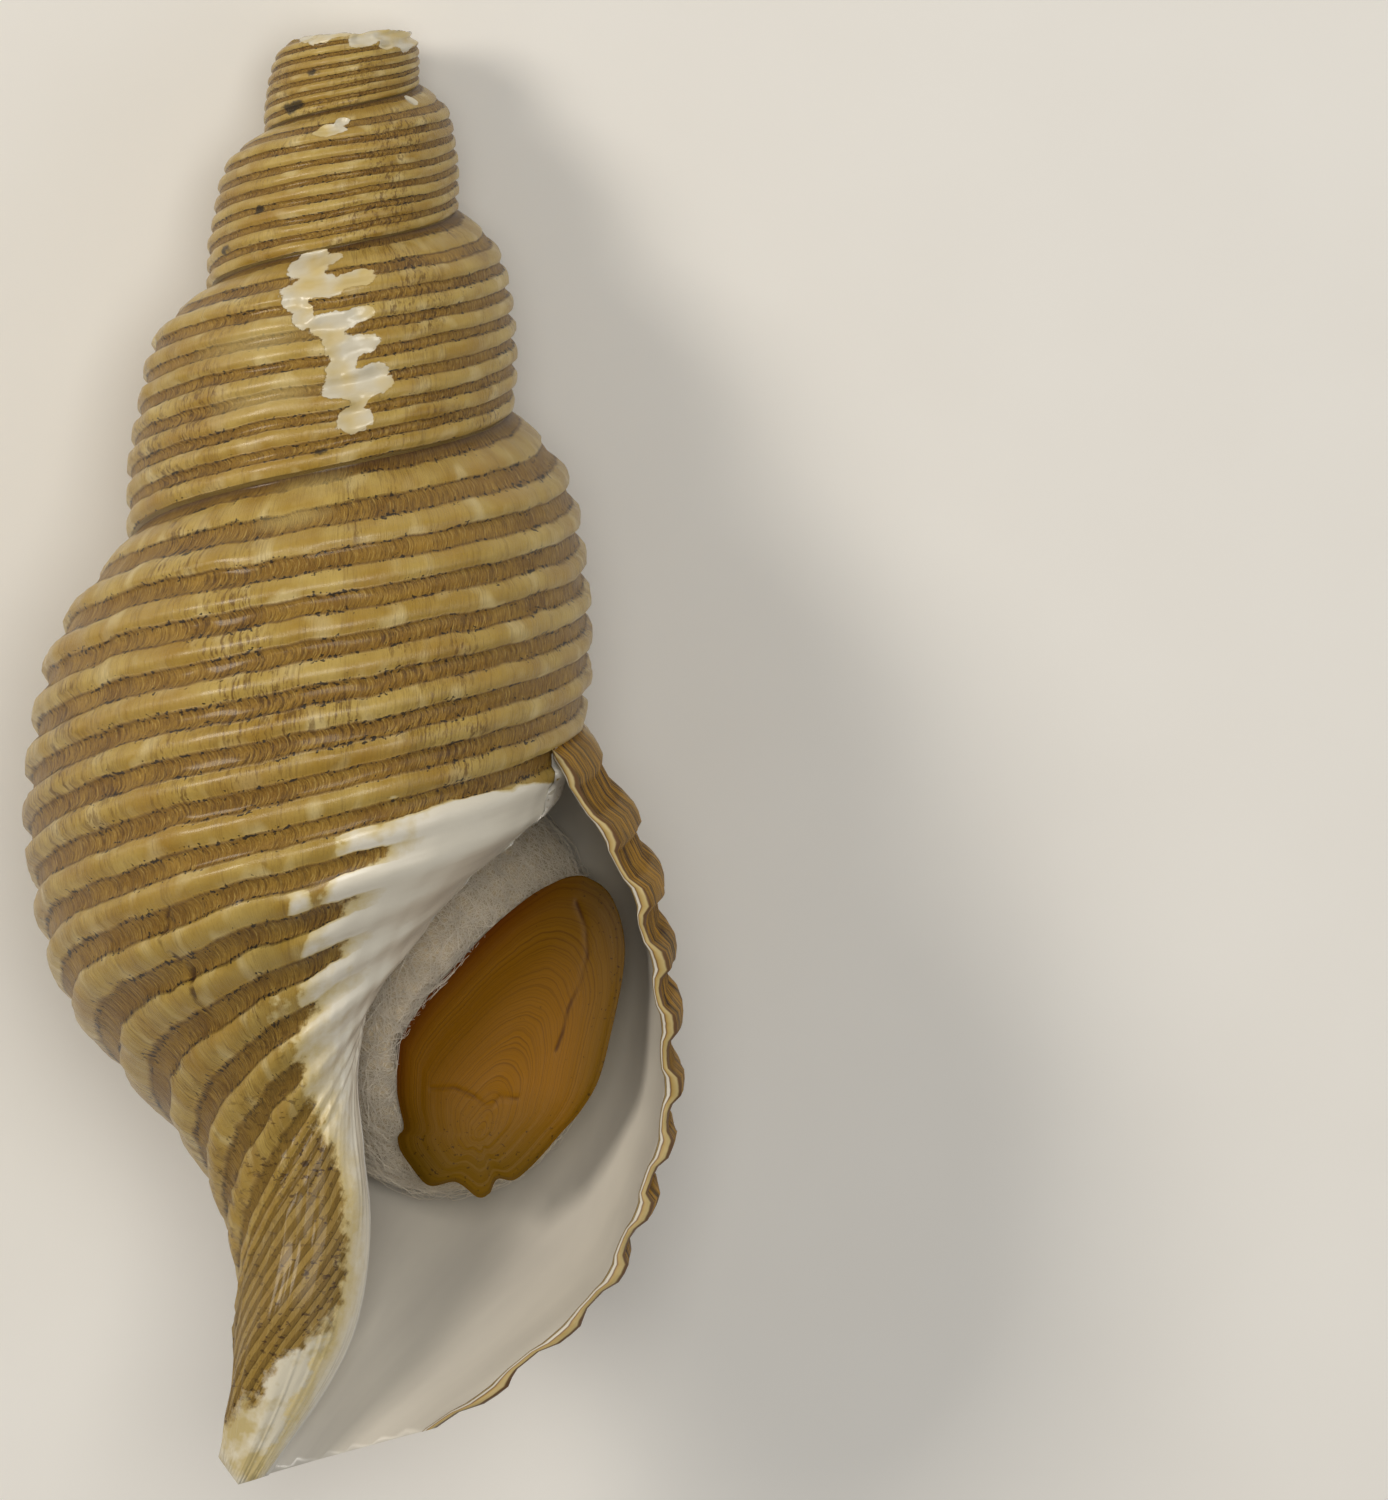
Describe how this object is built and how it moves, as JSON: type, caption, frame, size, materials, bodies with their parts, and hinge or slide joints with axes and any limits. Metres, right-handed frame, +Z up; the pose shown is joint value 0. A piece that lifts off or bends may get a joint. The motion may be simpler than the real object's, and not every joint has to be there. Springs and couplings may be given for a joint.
{
  "type": "aulacofusus hiranoi shell",
  "caption": "Tall spiral-corded whelk shell lying mouth up, with its horny operculum resting in the mouth on a wad of cotton wool.",
  "frame": {"origin": "on the resting surface, under the middle of the shell's bounding box", "axes": "+Z up, +Y along the shell towards the broken tip of the spire, +X towards the outer lip; the mouth looks up"},
  "size_m": [0.0458, 0.098, 0.0391],
  "materials": {
    "shell": "grown shell: waxy straw cords over brown grooves outside, white porcelain gloss inside",
    "operculum": "amber horn, satin, with curved growth lines",
    "cotton_wool": "loose white cotton fibres, matt"
  },
  "bodies": {
    "root": {"shell": "shell", "operculum": "operculum", "cotton_wool": "cotton_wool"}
  },
  "joints": []
}
